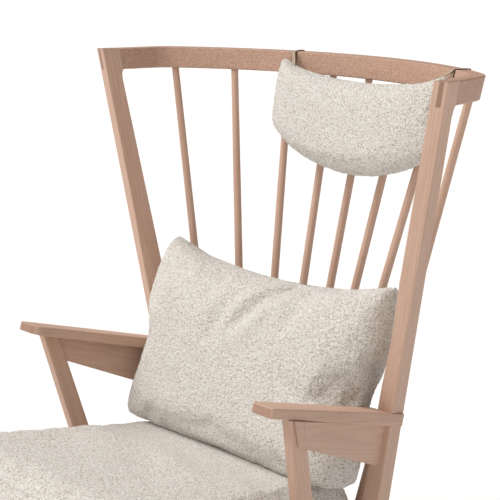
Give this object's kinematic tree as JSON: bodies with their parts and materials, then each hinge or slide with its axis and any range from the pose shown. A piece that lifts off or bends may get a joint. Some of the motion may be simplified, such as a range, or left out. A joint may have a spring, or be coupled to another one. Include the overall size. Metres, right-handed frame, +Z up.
{
  "type": "wooden armchair",
  "caption": "High-back wooden lounge armchair: bent top rail over fanned spindles, raked arms, loose seat and lumbar cushions and a strapped neck pillow.",
  "frame": {"origin": "on the floor, at the centre of the chair's footprint box, on the mirror plane of the wooden frame", "axes": "+X towards the sitter's left arm, the sitter faces -Y, +Z up"},
  "size_m": [0.8052, 0.7314, 1.0021],
  "materials": {
    "beech": "soap-finished, satin",
    "boucle": "looped boucle weave",
    "foam": "open-cell polyurethane foam, matt",
    "strap_webbing": "narrow woven strap with dark brown edges",
    "felt": "pressed felt",
    "bolt_steel": "zinc-plated, satin"
  },
  "bodies": {
    "frame": {"arm_dowels": "beech", "arm_left": "beech", "arm_panel_left": "beech", "arm_panel_right": "beech", "arm_right": "beech", "arm_strut_left": "beech", "arm_strut_right": "beech", "back_rail": "beech", "front_glide_left": "felt", "front_glide_right": "felt", "front_leg_left": "beech", "front_leg_right": "beech", "front_rail": "beech", "leg_bolts": "bolt_steel", "rear_glide_left": "felt", "rear_glide_right": "felt", "side_rail_left": "beech", "side_rail_right": "beech", "slat_1": "beech", "slat_2": "beech", "slat_3": "beech", "slat_4": "beech", "slat_5": "beech", "slat_ledge_left": "beech", "slat_ledge_right": "beech", "spindle_1": "beech", "spindle_2": "beech", "spindle_3": "beech", "spindle_4": "beech", "spindle_5": "beech", "spindle_6": "beech", "spindle_7": "beech", "spindle_8": "beech", "spindle_rail": "beech", "stile_bolts": "bolt_steel", "stile_left": "beech", "stile_right": "beech", "strap_loop_left": "strap_webbing", "strap_loop_right": "strap_webbing", "strut_bolts": "bolt_steel"},
    "seat_cushion": {"seat_cover": "boucle", "seat_foam": "foam"},
    "lumbar_cushion": {"lumbar_cover": "boucle", "lumbar_foam": "foam"},
    "neck_pillow": {"neck_cover": "boucle", "neck_foam": "foam", "strap_hanger_left": "strap_webbing", "strap_hanger_right": "strap_webbing"}
  },
  "joints": [
    {"name": "seat_cushion_slide", "type": "slide", "parent": "frame", "child": "seat_cushion", "axis": [0, -0.9945, 0.1045], "range_m": [0, 0.12]},
    {"name": "lumbar_cushion_lift", "type": "slide", "parent": "frame", "child": "lumbar_cushion", "axis": [0, -0.5, 0.866], "range_m": [0, 0.1]},
    {"name": "neck_pillow_swing", "type": "hinge", "parent": "frame", "child": "neck_pillow", "pos_m": [-0.12021, 0.32474, 1.0006], "axis": [-0.9877, 0.1562, 0], "range_deg": [0, 75]}
  ]
}
